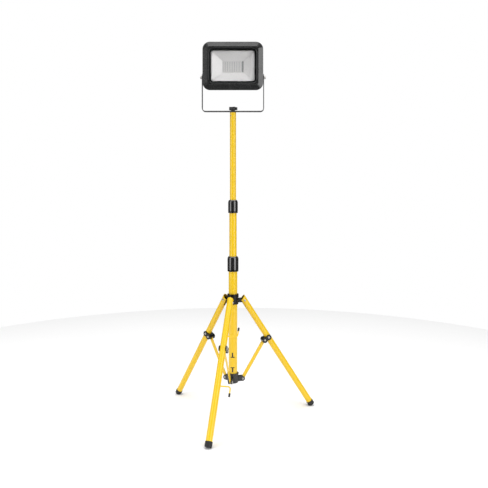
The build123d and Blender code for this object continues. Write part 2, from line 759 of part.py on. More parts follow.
with BuildPart() as lamp_bezel:
    with BuildSketch(lamp_plane(bezel_back)):
        lamp_rectangle(lamp_width, lamp_height, lamp_corner_r)
    extrude(amount=bezel_depth)
    chamfer(
        lamp_bezel.faces().sort_by(Axis.Y)[0].edges(), length=bevel_width, length2=bevel_depth,
        reference=lamp_bezel.faces().sort_by(Axis.Y)[0],
    )
    with BuildSketch(lamp_plane(lamp_front)):
        lamp_rectangle(
            window_width + 2 * border_width, window_height + 2 * border_width,
            window_corner_r + border_width,
        )
    extrude(
        amount=-border_depth, taper=math.degrees(math.atan2(border_width, border_depth)) * 0.97,
        mode=Mode.SUBTRACT,
    )
    with BuildSketch(lamp_plane(bezel_back)):
        lamp_rectangle(window_width, window_height, window_corner_r)
    extrude(amount=bezel_depth, mode=Mode.SUBTRACT)
    with BuildSketch(lamp_plane(bezel_back)):
        lamp_rectangle(
            glass_width + 2 * glass_gap, glass_height + 2 * glass_gap, glass_corner_r + glass_gap
        )
    extrude(amount=glass_front - bezel_back, mode=Mode.SUBTRACT)
    with BuildSketch(lamp_plane(bezel_back)):
        lamp_rectangle(
            lamp_width - 2 * bezel_wall, lamp_height - 2 * bezel_wall, lamp_corner_r - bezel_wall
        )
        lamp_rectangle(
            glass_width + 2 * (glass_gap + bezel_wall), glass_height + 2 * (glass_gap + bezel_wall),
            glass_corner_r + glass_gap + bezel_wall, mode=Mode.SUBTRACT,
        )
        with Locations(*bezel_screw_spots):
            Circle(bezel_screw_r + bezel_wall, mode=Mode.SUBTRACT)
    extrude(amount=bezel_depth - bevel_depth - bezel_wall, mode=Mode.SUBTRACT)
    with BuildSketch(lamp_plane(bezel_back)):
        with Locations(*bezel_screw_spots):
            Circle(bezel_screw_r)
    extrude(amount=bezel_screw_end - bezel_back, mode=Mode.SUBTRACT)
publish(lamp_bezel, "lamp_bezel")

with BuildPart() as lamp_glass:
    with BuildSketch(lamp_plane(glass_back)):
        lamp_rectangle(glass_width, glass_height, glass_corner_r)
    extrude(amount=glass_thickness)
publish(lamp_glass, "lamp_glass")

with BuildPart() as glass_gasket:
    with BuildSketch(lamp_plane(rim_front)):
        lamp_rectangle(glass_width, glass_height, glass_corner_r)
        lamp_rectangle(window_width, window_height, window_corner_r, mode=Mode.SUBTRACT)
    extrude(amount=gasket_thickness)
publish(glass_gasket, "glass_gasket")

cavity_back = tray_back + tray_floor
fin_xs = [(i - (fin_count - 1) / 2) * fin_pitch for i in range(fin_count)]
driver_top = driver_center_z + driver_height / 2

with BuildPart() as lamp_housing:
    with BuildSketch(lamp_plane(tray_back)):
        lamp_rectangle(tray_width, tray_height, lamp_corner_r - tray_inset)
    extrude(amount=bezel_back - tray_back)
    fillet(lamp_housing.faces().sort_by(Axis.Y)[-1].edges(), radius=4.0)
    with BuildSketch(lamp_plane(tray_back)):
        lamp_rectangle(glass_width, glass_height, glass_corner_r)
    extrude(amount=rim_front - tray_back)
    with BuildSketch(lamp_plane(cavity_back)):
        lamp_rectangle(window_width, window_height, window_corner_r)
    extrude(amount=rim_front - cavity_back, mode=Mode.SUBTRACT)
    with BuildSketch(lamp_plane(cavity_back)):
        lamp_rectangle(
            tray_width - 2 * tray_wall, tray_height - 2 * tray_wall,
            lamp_corner_r - tray_inset - tray_wall,
        )
        lamp_rectangle(glass_width, glass_height, glass_corner_r, mode=Mode.SUBTRACT)
        with Locations(*bezel_screw_spots):
            Circle(bezel_screw_head_r + tray_wall, mode=Mode.SUBTRACT)
    extrude(amount=bezel_back - cavity_back, mode=Mode.SUBTRACT)
    for x in fin_xs:
        under_driver = abs(x) < driver_width / 2 + fin_thickness
        fin_bottom = driver_top + fin_clearance if under_driver else lamp_center_z - fin_span / 2
        fin_top = lamp_center_z + fin_span / 2
        with BuildSketch(lamp_plane(tray_back + fin_root)):
            with Locations((x, (fin_bottom + fin_top) / 2)):
                Rectangle(fin_thickness, fin_top - fin_bottom)
        extrude(amount=-fin_height - fin_root)
    for sx in (-1, 1):
        with BuildSketch(Plane.YZ.offset(sx * ear_inner)):
            with BuildLine():
                Polyline(
                    (-bezel_back + ear_root, lamp_pivot_z + ear_half_height),
                    (-tray_back, lamp_pivot_z + ear_half_height),
                    (ear_back, lamp_pivot_z + ear_back_half),
                    (ear_back, lamp_pivot_z - ear_back_half),
                    (-tray_back, lamp_pivot_z - ear_half_height),
                    (-bezel_back + ear_root, lamp_pivot_z - ear_half_height),
                    close=True,
                )
            make_face()
        extrude(amount=sx * (ear_outer - ear_inner))
        with BuildSketch(Plane.YZ.offset(sx * ear_outer)):
            with Locations((0, lamp_pivot_z)):
                Circle(screw_r)
        extrude(amount=-sx * tilt_bolt_reach, mode=Mode.SUBTRACT)
    with BuildSketch(lamp_plane(tray_back)):
        with Locations(*bezel_screw_spots):
            Circle(bezel_screw_r)
    extrude(amount=bezel_back - tray_back, mode=Mode.SUBTRACT)
    with BuildSketch(lamp_plane(tray_back)):
        with Locations(*bezel_screw_spots):
            Circle(bezel_screw_head_r)
    extrude(amount=bezel_screw_sink, mode=Mode.SUBTRACT)
    with BuildSketch(lamp_plane(tray_back)):
        with Locations((0, driver_center_z)):
            Circle(wire_hole_r)
    extrude(amount=tray_floor, mode=Mode.SUBTRACT)
publish(lamp_housing, "lamp_housing")

with BuildPart() as bezel_screws:
    with BuildSketch(lamp_plane(tray_back + bezel_screw_sink)):
        with Locations(*bezel_screw_spots):
            Circle(bezel_screw_r)
    extrude(amount=bezel_screw_end - tray_back - bezel_screw_sink)
    with BuildSketch(lamp_plane(tray_back + bezel_screw_sink - bezel_screw_head_h)):
        with Locations(*bezel_screw_spots):
            Circle(bezel_screw_head_r)
    extrude(amount=bezel_screw_head_h)
publish(bezel_screws, "bezel_screws")

board_front = cavity_back + board_thickness
with BuildPart() as led_board:
    with BuildSketch(lamp_plane(cavity_back)):
        with Locations((0, lamp_center_z)):
            Rectangle(board_width, board_height)
    extrude(amount=board_thickness)
publish(led_board, "led_board")

led_columns = 8
led_rows = 6
led_pitch = (9.4, 7.6)
led_size = 3.0
led_shift = 3.0             # the array sits left of centre, beside the connector
connector_width = 3.4
connector_depth = 2.2
led_height = 0.8
with BuildPart() as led_chips:
    with BuildSketch(lamp_plane(board_front)):
        with Locations((-led_shift, lamp_center_z)):
            with GridLocations(led_pitch[0], led_pitch[1], led_columns, led_rows):
                Rectangle(led_size, led_size)
    extrude(amount=led_height)
publish(led_chips, "led_chips")

with BuildPart() as led_connector:
    with BuildSketch(lamp_plane(board_front)):
        with Locations((led_window_width / 2 - led_shift, lamp_center_z)):
            Rectangle(connector_width, led_window_height - 4.0)
    extrude(amount=connector_depth)
publish(led_connector, "led_connector")

reflector_front = rim_front - 0.5
mouth_width = window_width - 2 * reflector_rim - 2 * glass_gap
mouth_height = window_height - 2 * reflector_rim - 2 * glass_gap
with BuildPart() as reflector:
    with BuildSketch(lamp_plane(board_front)):
        lamp_rectangle(
            led_window_width + 2 * reflector_wall, led_window_height + 2 * reflector_wall, 1.5
        )
    with BuildSketch(lamp_plane(reflector_front)):
        lamp_rectangle(
            mouth_width + 2 * reflector_wall, mouth_height + 2 * reflector_wall,
            mouth_corner_r + reflector_wall,
        )
    loft()
    with BuildSketch(lamp_plane(reflector_front - reflector_wall)):
        lamp_rectangle(window_width - 2 * glass_gap, window_height - 2 * glass_gap, window_corner_r)
    extrude(amount=reflector_wall)
    with BuildSketch(lamp_plane(board_front - 0.01)):
        lamp_rectangle(led_window_width, led_window_height, 1.0)
    with BuildSketch(lamp_plane(reflector_front + 0.01)):
        lamp_rectangle(mouth_width, mouth_height, mouth_corner_r)
    loft(mode=Mode.SUBTRACT)
publish(reflector, "reflector")

# The driver sits under its own cover on the back, with the supply lead's gland at the bottom.
gland_y = -tray_back + driver_depth / 2
gland_neck_r = 6.0
gland_hex_r = 8.5
gland_hex_h = 6.0
gland_nut_r = 7.4
gland_nut_h = 10.0
gland_bore_r = 3.6
cover_screw_x = driver_width / 2 - driver_boss / 2
cover_screw_z = driver_height / 2 - driver_boss / 2
cover_screw_spots = [
    (sx * cover_screw_x, driver_center_z + sz * cover_screw_z) for sx in (-1, 1) for sz in (-1, 1)
]
with BuildPart() as driver_cover:
    with BuildSketch(lamp_plane(tray_back)):
        with Locations((0, driver_center_z)):
            RectangleRounded(driver_width, driver_height, driver_corner_r)
    extrude(amount=-driver_depth)
    chamfer(driver_cover.faces().sort_by(Axis.Y)[-1].edges(), length=driver_bevel)
    with BuildSketch(lamp_plane(tray_back)):
        with Locations((0, driver_center_z)):
            RectangleRounded(driver_width - 2 * driver_boss, driver_height - 2 * driver_wall, 4.0)
            RectangleRounded(driver_width - 2 * driver_wall, driver_height - 2 * driver_boss, 4.0)
    extrude(amount=-driver_depth + driver_wall, mode=Mode.SUBTRACT)
    with BuildSketch(lamp_plane(tray_back)):
        with Locations(*cover_screw_spots):
            Circle(bezel_screw_r)
    extrude(amount=-driver_depth, mode=Mode.SUBTRACT)
    with BuildSketch(Plane.XY.offset(driver_center_z - driver_height / 2)):
        with Locations((0, gland_y)):
            Circle(gland_neck_r)
    extrude(amount=driver_wall, mode=Mode.SUBTRACT)
publish(driver_cover, "driver_cover")

with BuildPart() as driver_screws:
    with BuildSketch(lamp_plane(tray_back)):
        with Locations(*cover_screw_spots):
            Circle(bezel_screw_r)
    extrude(amount=-driver_depth)
    with BuildSketch(lamp_plane(tray_back - driver_depth)):
        with Locations(*cover_screw_spots):
            Circle(bezel_screw_head_r)
    extrude(amount=-cover_screw_head_h)
publish(driver_screws, "driver_screws")

with BuildPart() as led_driver:
    with BuildSketch(lamp_plane(tray_back)):
        with Locations((0, driver_center_z + 3.0)):
            Rectangle(driver_width - 36.0, driver_height - 24.0)
    extrude(amount=-driver_depth + driver_wall + driver_air)
publish(led_driver, "led_driver")

gland_top = driver_center_z - driver_height / 2
with BuildPart() as cable_gland:
    with BuildSketch(Plane.XY.offset(gland_top + driver_wall)):
        with Locations((0, gland_y)):
            Circle(gland_neck_r)
    extrude(amount=-driver_wall)
    with BuildSketch(Plane.XY.offset(gland_top)):
        with Locations((0, gland_y)):
            RegularPolygon(gland_hex_r, 6)
    extrude(amount=-gland_hex_h)
    with BuildSketch(Plane.XY.offset(gland_top - gland_hex_h)):
        with Locations((0, gland_y)):
            Circle(gland_nut_r)
    extrude(amount=-gland_nut_h, taper=8.0)
    with BuildSketch(Plane.XY.offset(gland_top + driver_wall)):
        with Locations((0, gland_y)):
            Circle(gland_bore_r)
    extrude(amount=-driver_wall - gland_hex_h - gland_nut_h, mode=Mode.SUBTRACT)
publish(cable_gland, "cable_gland")

# Tilt bolts: hexagon-headed, through the yoke's arms into the ears.
arm_inner = yoke_inner / 2
arm_outer = arm_inner + yoke_thickness
head_seat = arm_outer + washer_gap + tilt_washer_t
with BuildPart() as tilt_bolts:
    for sx in (-1, 1):
        with BuildSketch(Plane.YZ.offset(sx * (ear_outer - tilt_bolt_reach))):
            with Locations((0, lamp_pivot_z)):
                Circle(screw_r)
        extrude(amount=sx * (head_seat - ear_outer + tilt_bolt_reach))
        with BuildSketch(Plane.YZ.offset(sx * head_seat)):
            with Locations((0, lamp_pivot_z)):
                RegularPolygon(hex_head_r, 6)
        extrude(amount=sx * hex_head_h)
publish(tilt_bolts, "tilt_bolts")

with BuildPart() as tilt_washers:
    for sx in (-1, 1):
        for start in (ear_outer, head_seat - tilt_washer_t):
            with BuildSketch(Plane.YZ.offset(sx * start)):
                with Locations((0, lamp_pivot_z)):
                    Circle(washer_r)
                    Circle(screw_r, mode=Mode.SUBTRACT)
            extrude(amount=sx * tilt_washer_t)
publish(tilt_washers, "tilt_washers")
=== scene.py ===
import math

import bmesh
import bpy
from mathutils import Matrix, Vector


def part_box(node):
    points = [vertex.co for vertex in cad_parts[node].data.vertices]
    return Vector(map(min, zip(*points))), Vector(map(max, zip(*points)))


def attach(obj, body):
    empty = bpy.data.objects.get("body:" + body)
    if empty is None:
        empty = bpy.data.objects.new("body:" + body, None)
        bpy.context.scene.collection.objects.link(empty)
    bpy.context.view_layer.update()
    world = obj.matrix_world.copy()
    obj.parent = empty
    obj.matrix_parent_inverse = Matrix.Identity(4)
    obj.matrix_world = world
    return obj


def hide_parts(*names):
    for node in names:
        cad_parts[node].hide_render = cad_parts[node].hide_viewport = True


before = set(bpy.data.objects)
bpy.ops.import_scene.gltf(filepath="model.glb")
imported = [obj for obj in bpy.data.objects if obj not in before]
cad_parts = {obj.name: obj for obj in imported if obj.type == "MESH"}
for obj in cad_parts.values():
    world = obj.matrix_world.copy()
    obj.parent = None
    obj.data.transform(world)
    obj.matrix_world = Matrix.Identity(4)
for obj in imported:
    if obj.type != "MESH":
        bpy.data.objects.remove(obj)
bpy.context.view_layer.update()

# ---- Camera -------------------------------------------------------------------------------
# The stand is looked at level, from a little above its middle and about two and a half metres in
# front. The lens is shifted down instead of the camera being tipped, so that uprights stay upright.
camera_data = bpy.data.cameras.new("camera")
camera_data.sensor_width = 36.0
camera_data.lens = 44.45
camera_data.shift_y = -0.1114
camera = bpy.data.objects.new("camera", camera_data)
camera.location = (0.045, -2.461, 0.914)
camera.rotation_euler = (math.radians(90), 0, 0)
bpy.context.scene.collection.objects.link(camera)
bpy.context.scene.camera = camera


# ---- Mast tubes ---------------------------------------------------------------------------
# Three drawn steel tubes, powder coated in a warm yellow before they are slid into each other.
# The coat has a fine orange peel, soft clouds in its colour and a few hair scratches along it.
def effect_group(name, inputs, outputs):
    """An empty shader group with its named sockets, and its input and output nodes."""
    group = bpy.data.node_groups.new(name, "ShaderNodeTree")
    for label, value in inputs.items():
        kind = {float: "NodeSocketFloat", tuple: "NodeSocketColor"}.get(type(value), "NodeSocketVector")
        socket = group.interface.new_socket(label, in_out="INPUT", socket_type=kind)
        if value is not None:
            socket.default_value = value
    for label, kind in outputs.items():
        group.interface.new_socket(label, in_out="OUTPUT", socket_type=kind)
    return group, group.nodes.new("NodeGroupInput"), group.nodes.new("NodeGroupOutput")


def add_node(tree, kind, inputs=None, **settings):
    """A node with its settings, whose inputs are either values or other nodes' outputs."""
    node = tree.nodes.new(kind)
    for label, value in settings.items():
        setattr(node, label, value)
    for key, value in (inputs or {}).items():
        if isinstance(value, bpy.types.NodeSocket):
            tree.links.new(value, node.inputs[key])
        else:
            node.inputs[key].default_value = value
    return node


def spread(tree, value, low, high, out_low, out_high):
    """The value, taken from one range to another and held inside it."""
    node = add_node(tree, "ShaderNodeMapRange", {
        "Value": value, "From Min": low, "From Max": high, "To Min": out_low, "To Max": out_high,
    })
    return node.outputs["Result"]


def blend_colour(tree, share, first, second):
    """The first colour, blended to the second: 6, 7 and 2 are the Mix node's colour sockets."""
    node = add_node(tree, "ShaderNodeMix", {0: share, 6: first, 7: second}, data_type="RGBA")
    return node.outputs[2]


def calculate(tree, operation, first, second):
    """One step of arithmetic on two values or outputs."""
    node = add_node(tree, "ShaderNodeMath", {0: first, 1: second}, operation=operation)
    return node.outputs[0]


def make_powder_coat():
    """Smooth coat over metal: peel, soft clouds in the colour, and hair scratches."""
    tree, start, end = effect_group(
        "powder coat",
        {"Vector": None, "Colour": (0.8, 0.8, 0.8, 1), "Thin colour": (0.5, 0.5, 0.5, 1),
         "Gloss": 0.3, "Peel scale": 900.0, "Scratches": 0.15},
        {"Colour": "NodeSocketColor", "Roughness": "NodeSocketFloat", "Height": "NodeSocketFloat"},
    )
    place = start.outputs["Vector"]
    clouds = add_node(tree, "ShaderNodeTexNoise", {"Vector": place, "Scale": 9.0, "Detail": 5.0})
    peel = add_node(tree, "ShaderNodeTexNoise",
                    {"Vector": place, "Scale": start.outputs["Peel scale"], "Detail": 2.0})
    stretch = add_node(tree, "ShaderNodeMapping", {"Vector": place, "Scale": (240.0, 240.0, 9.0)})
    hairs = add_node(tree, "ShaderNodeTexNoise",
                     {"Vector": stretch.outputs[0], "Scale": 1.0, "Detail": 6.0, "Roughness": 0.7})
    hair_mask = spread(tree, hairs.outputs["Fac"], 0.64, 0.74, 0.0, 1.0)
    hair_share = calculate(tree, "MULTIPLY", hair_mask, start.outputs["Scratches"])
    cloud_share = spread(tree, clouds.outputs["Fac"], 0.35, 0.75, 0.0, 0.08)
    clouded = blend_colour(tree, cloud_share, start.outputs["Colour"], start.outputs["Thin colour"])
    scratched = blend_colour(tree, hair_share, clouded, start.outputs["Thin colour"])
    uneven = spread(tree, clouds.outputs["Fac"], 0.3, 0.7, -0.02, 0.03)
    rough = calculate(tree, "ADD", calculate(tree, "ADD", start.outputs["Gloss"], uneven), hair_share)
    height = calculate(tree, "SUBTRACT", peel.outputs["Fac"], hair_share)
    tree.links.new(scratched, end.inputs["Colour"])
    tree.links.new(rough, end.inputs["Roughness"])
    tree.links.new(height, end.inputs["Height"])
    return tree


powder_coat = make_powder_coat()


def finish_with(name, effect, values, relief, metallic=0.0, coat=0.0, specular=0.5):
    """A material whose colour, roughness and relief come from one of the shader groups."""
    material = bpy.data.materials.new(name)
    material.use_nodes = True
    tree = material.node_tree
    shader = tree.nodes["Principled BSDF"]
    place = add_node(tree, "ShaderNodeTexCoord")
    surface = add_node(tree, "ShaderNodeGroup", node_tree=effect)
    tree.links.new(place.outputs["Object"], surface.inputs["Vector"])
    for label, value in values.items():
        surface.inputs[label].default_value = value
    bump = add_node(tree, "ShaderNodeBump", {"Height": surface.outputs["Height"], "Distance": relief})
    tree.links.new(surface.outputs["Colour"], shader.inputs["Base Color"])
    tree.links.new(surface.outputs["Roughness"], shader.inputs["Roughness"])
    tree.links.new(bump.outputs["Normal"], shader.inputs["Normal"])
    shader.inputs["Metallic"].default_value = metallic
    shader.inputs["Coat Weight"].default_value = coat
    shader.inputs["Specular IOR Level"].default_value = specular
    return material


def dress(material, *names):
    """Puts a material on CAD nodes, on the object and not on its mesh."""
    for name in names:
        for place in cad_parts[name].material_slots:
            place.link = "OBJECT"
            place.material = material


yellow_paint = finish_with(
    "yellow powder coat", powder_coat,
    {"Colour": (0.87, 0.565, 0.008, 1), "Thin colour": (0.80, 0.48, 0.008, 1), "Gloss": 0.28,
     "Scratches": 0.03},
    relief=0.000003, coat=0.25,
)
dress(yellow_paint, "lower_mast_tube", "middle_mast_tube", "top_mast_tube")


# ---- Limit marks ---------------------------------------------------------------------------
# Two dark prints on the front of the lowest tube, a bar and a stem each: a generic pair of limit
# marks for the sliding hub. They are pad printed over the yellow coat.
sharp_from = math.radians(35)


def finished_piece(name, shape, body, *materials):
    """A new piece made from a bmesh, smooth but for its sharp edges, that rides on a body."""
    bmesh.ops.recalc_face_normals(shape, faces=shape.faces)
    data = bpy.data.meshes.new(name)
    shape.to_mesh(data)
    shape.free()
    for material in materials:
        data.materials.append(material)
    data.shade_smooth()
    data.set_sharp_from_angle(angle=sharp_from)
    piece = bpy.data.objects.new(name, data)
    bpy.context.scene.collection.objects.link(piece)
    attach(piece, body)
    return piece


tube_low, tube_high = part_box("lower_mast_tube")
tube_radius = (tube_high.x - tube_low.x) / 2
hub_rim_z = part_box("lower_hub")[1].z
lower_mark_rise = 0.006
upper_mark_rise = 0.065
stem_width = 0.0052
stem_height = 0.0172
bar_width = 0.0165
bar_height = 0.0032
print_offset = 0.08
print_thickness = 0.0003
marks = bmesh.new()


def print_bar(width, low, high):
    """One bar wrapped round the front of the tube, a touch left of its middle."""
    ends = [marks.verts.new((0, -tube_radius, height)) for height in (low, high)]
    line = marks.edges.new(ends)
    turn = width / tube_radius
    to_its_edge = Matrix.Rotation(-turn / 2 - print_offset, 3, "Z")
    bmesh.ops.rotate(marks, verts=ends, cent=(0, 0, 0), matrix=to_its_edge)
    bmesh.ops.spin(marks, geom=[line, *ends], cent=(0, 0, 0), axis=(0, 0, 1), angle=turn, steps=8)


for stem_low, bar_low in (
    (hub_rim_z + lower_mark_rise, hub_rim_z + lower_mark_rise + stem_height),
    (hub_rim_z + upper_mark_rise + bar_height, hub_rim_z + upper_mark_rise),
):
    print_bar(stem_width, stem_low, stem_low + stem_height)
    print_bar(bar_width, bar_low, bar_low + bar_height)
bmesh.ops.recalc_face_normals(marks, faces=marks.faces)
bmesh.ops.solidify(marks, geom=marks.faces[:], thickness=print_thickness)
outermost = max(math.hypot(corner.co.x, corner.co.y) for corner in marks.verts)
swell = (tube_radius + print_thickness) / outermost
bmesh.ops.scale(marks, verts=marks.verts, vec=(swell, swell, 1))
print_ink = finish_with(
    "print ink", powder_coat,
    {"Colour": (0.02, 0.02, 0.018, 1), "Thin colour": (0.16, 0.11, 0.02, 1), "Gloss": 0.5,
     "Scratches": 0.4},
    relief=0.00003,
)
finished_piece("limit_marks", marks, "mast", print_ink)


# ---- Bushes, collar seats, hubs, saddles and plug --------------------------------------------
# Injection moulded in black and dark grey nylon: satin, with a fine spark-eroded grain. Bushes and
# seats sit tight on their tubes, and the hub slides on the mast.
def make_moulded():
    """Moulded plastic: a fine pebbled grain, faint flow clouds and a painted sheen on their high spots.
    """
    tree, start, end = effect_group(
        "moulded plastic",
        {"Vector": None, "Colour": (0.02, 0.02, 0.02, 1), "Sheen colour": (0.1, 0.1, 0.1, 1),
         "Gloss": 0.4, "Grain scale": 1800.0},
        {"Colour": "NodeSocketColor", "Roughness": "NodeSocketFloat", "Height": "NodeSocketFloat"},
    )
    place = start.outputs["Vector"]
    flow = add_node(tree, "ShaderNodeTexNoise",
                    {"Vector": place, "Scale": 60.0, "Detail": 6.0, "Roughness": 0.65})
    pebbles = add_node(tree, "ShaderNodeTexVoronoi",
                       {"Vector": place, "Scale": start.outputs["Grain scale"]})
    # The paler colour on the flow clouds' high spots is a painted sheen.
    sheen_share = spread(tree, flow.outputs["Fac"], 0.52, 0.78, 0.0, 0.55)
    colour = blend_colour(tree, sheen_share, start.outputs["Colour"], start.outputs["Sheen colour"])
    uneven = spread(tree, flow.outputs["Fac"], 0.3, 0.7, 0.08, -0.06)
    rough = calculate(tree, "ADD", start.outputs["Gloss"], uneven)
    tree.links.new(colour, end.inputs["Colour"])
    tree.links.new(rough, end.inputs["Roughness"])
    tree.links.new(pebbles.outputs["Distance"], end.inputs["Height"])
    return tree


moulded = make_moulded()
black_plastic = finish_with(
    "black nylon", moulded,
    {"Colour": (0.005, 0.005, 0.0055, 1), "Sheen colour": (0.010, 0.010, 0.011, 1), "Gloss": 0.20},
    relief=0.000004, specular=0.4,
)
dark_grey_plastic = finish_with(
    "dark grey nylon", moulded,
    {"Colour": (0.022, 0.022, 0.023, 1), "Sheen colour": (0.06, 0.06, 0.062, 1), "Gloss": 0.32},
    relief=0.00004,
)
dress(
    black_plastic, "middle_guide_bush", "top_guide_bush", "lower_collar_seat", "upper_collar_seat",
    "leg_hub", "hub_clamp_knob", "mast_plug",
)
dress(dark_grey_plastic, "lower_hub", "yoke_knob", "led_driver")

# ---- Collar rings ----------------------------------------------------------------------------
# The twist rings are moulded in black nylon and polished: a plain barrel with a long rounded
# shoulder, hollow for the jaws of the seat that it squeezes on the inner tube.
polished_nylon = finish_with(
    "polished nylon", moulded,
    {"Colour": (0.004, 0.004, 0.0045, 1), "Sheen colour": (0.007, 0.007, 0.008, 1), "Gloss": 0.14},
    relief=0.000002, coat=0.8, specular=0.8,
)
mouth_gap = 0.0004
mouth_lip = 0.0002
sleeve_gap = 0.0026
shoulder_height = 0.0115
shoulder_steps = 12
ring_edge = 0.0008
cone_foot_rise = 0.0013
cone_top_rise = 0.0113
cone_top_gap = 0.0014
hollow_top_rise = 0.0123


def collar_ring(name, node, body, inner_tube, outer_tube):
    """A barrel with an elliptical shoulder and a coned hollow, spun from its outline."""
    low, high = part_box(node)
    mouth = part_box(inner_tube)[1].x + mouth_gap
    tube_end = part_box(outer_tube)[1]
    sleeve = tube_end.x + sleeve_gap
    radius = high.x
    outline = [(sleeve, low.z), (radius - ring_edge, low.z), (radius, low.z + ring_edge)]
    for step in range(shoulder_steps + 1):
        turn = math.pi / 2 * step / shoulder_steps
        outline.append((
            mouth + ring_edge + (radius - mouth - ring_edge) * math.cos(turn),
            high.z - shoulder_height + shoulder_height * math.sin(turn),
        ))
    outline += [
        (mouth, high.z - mouth_lip), (mouth, tube_end.z + hollow_top_rise),
        (mouth + cone_top_gap, tube_end.z + cone_top_rise), (sleeve, tube_end.z + cone_foot_rise),
    ]
    ring = bmesh.new()
    corners = [ring.verts.new((across, 0, height)) for across, height in outline]
    lines = [ring.edges.new((corners[i - 1], corners[i])) for i in range(len(corners))]
    bmesh.ops.spin(
        ring, geom=corners + lines, cent=(0, 0, 0), axis=(0, 0, 1), angle=math.tau, steps=72,
        use_merge=True,
    )
    piece = finished_piece(name, ring, body, polished_nylon)
    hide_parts(node)


collar_ring("lower_twist_ring", "lower_collar_ring", "lower_ring", "middle_mast_tube", "lower_mast_tube")
collar_ring("upper_twist_ring", "upper_collar_ring", "upper_ring", "top_mast_tube", "middle_mast_tube")

# ---- Legs and braces ------------------------------------------------------------------------
# Round steel tube legs and flat steel braces in the same yellow coat, joined by rivets and by the
# moulded saddles. The front leg also carries the two cable hooks.
sides = ("front", "left", "right")
for side in sides:
    dress(yellow_paint, f"leg_tube_{side}", f"brace_{side}")
    dress(black_plastic, f"saddle_{side}")
dress(yellow_paint, "cable_hooks")


# ---- Rivets, bolts and inserts ---------------------------------------------------------------
# Rivets, bolts, washers and clamp screws of zinc plated steel, with the plating's pale mottle, and
# two turned brass inserts for the threads.
def make_plated():
    """Bright zinc: fine spangle in the tone, and a drawn grain."""
    tree, start, end = effect_group(
        "zinc plate",
        {"Vector": None, "Colour": (0.6, 0.6, 0.6, 1), "Dull colour": (0.4, 0.4, 0.4, 1), "Gloss": 0.3},
        {"Colour": "NodeSocketColor", "Roughness": "NodeSocketFloat", "Height": "NodeSocketFloat"},
    )
    place = start.outputs["Vector"]
    spangle = add_node(tree, "ShaderNodeTexVoronoi", {"Vector": place, "Scale": 700.0})
    grain = add_node(tree, "ShaderNodeTexNoise", {"Vector": place, "Scale": 1400.0, "Detail": 3.0})
    tone = add_node(tree, "ShaderNodeSeparateColor", {"Color": spangle.outputs["Color"]})
    colour = blend_colour(tree, tone.outputs[0], start.outputs["Colour"], start.outputs["Dull colour"])
    uneven = spread(tree, tone.outputs[1], 0.0, 1.0, -0.06, 0.1)
    rough = calculate(tree, "ADD", start.outputs["Gloss"], uneven)
    tree.links.new(colour, end.inputs["Colour"])
    tree.links.new(rough, end.inputs["Roughness"])
    tree.links.new(grain.outputs["Fac"], end.inputs["Height"])
    return tree


plated = make_plated()
zinc = finish_with(
    "zinc plated steel", plated,
    {"Colour": (0.50, 0.49, 0.47, 1), "Dull colour": (0.32, 0.31, 0.30, 1), "Gloss": 0.33},
    relief=0.00003, metallic=1.0,
)
dress(zinc, "lower_hub_rivets", "hub_clamp_screw", "plug_rivet", "yoke_screw", "tilt_washers")
brass = finish_with(
    "turned brass", plated,
    {"Colour": (0.70, 0.52, 0.22, 1), "Dull colour": (0.5, 0.36, 0.14, 1), "Gloss": 0.28},
    relief=0.00003, metallic=1.0,
)
dress(brass, "hub_knob_insert", "plug_insert")
for side in sides:
    dress(zinc, f"leg_rivet_{side}", f"saddle_bolt_{side}", f"brace_rivet_{side}")


# ---- Lamp screws -----------------------------------------------------------------------------
# Cheese-head machine screws with a hexagon socket, in zinc plated steel: six hold the bezel from
# behind, and four hold the driver's cover.
screw_head_radius = 0.0036
screw_shank_radius = screw_head_radius * 0.5
socket_rim = screw_head_radius * 0.34
socket_fit = 0.92
socket_depth_share = 0.55
head_bevel_share = 0.22
near_head_share = 1.2
hexagon_half_side = math.pi / 6
face_forward = Matrix.Rotation(math.radians(90), 4, "X")


def how_far_back(face):
    """Where a face stands along the lamp's depth."""
    return face.calc_center_median().y


def socket_screws(name, node, head_height, columns):
    """Two rows of screws that point forward: a bevelled head with a socket, on a plain shank."""
    low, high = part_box(node)
    middle = (low + high) / 2
    reach = Vector((high.x - middle.x - screw_head_radius, 0, high.z - middle.z - screw_head_radius))
    shank_length = high.y - low.y - head_height
    to_shank = Vector((0, (head_height + shank_length) / 2, 0))
    screws = bmesh.new()
    for column in columns:
        for row in (-1, 1):
            place = Vector((
                middle.x + column * reach.x, high.y - head_height / 2, middle.z + row * reach.z,
            ))
            head = bmesh.ops.create_cone(
                screws, cap_ends=True, segments=24, radius1=screw_head_radius,
                radius2=screw_head_radius, depth=head_height,
                matrix=Matrix.Translation(place) @ face_forward,
            )["verts"]
            outer = max({face for corner in head for face in corner.link_faces}, key=how_far_back)
            bmesh.ops.bevel(
                screws, geom=outer.edges[:], offset=head_height * head_bevel_share, segments=3,
                affect="EDGES", profile=0.5, material=-1,
            )
            near_head = [face for face in screws.faces
                         if (face.calc_center_median() - place).length < head_height * near_head_share]
            outer = max(near_head, key=how_far_back)
            bmesh.ops.inset_individual(screws, faces=[outer], thickness=socket_rim)
            for corner in outer.verts:
                spoke = corner.co - outer.calc_center_median()
                angle = math.atan2(spoke.z, spoke.x) % (math.pi / 3) - hexagon_half_side
                corner.co += spoke * (socket_fit * math.cos(hexagon_half_side) / math.cos(angle) - 1)
            pushed = bmesh.ops.extrude_discrete_faces(screws, faces=[outer])["faces"][0]
            bmesh.ops.translate(
                screws, verts=pushed.verts[:], vec=(0, -head_height * socket_depth_share, 0),
            )
            bmesh.ops.create_cone(
                screws, cap_ends=True, segments=16, radius1=screw_shank_radius,
                radius2=screw_shank_radius, depth=shank_length,
                matrix=Matrix.Translation(place - to_shank) @ face_forward,
            )
    piece = finished_piece(name, screws, "lamp", zinc)
    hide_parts(node)


socket_screws("bezel_socket_screws", "bezel_screws", 0.0026, (-1, 0, 1))
socket_screws("cover_socket_screws", "driver_screws", 0.0022, (-1, 1))

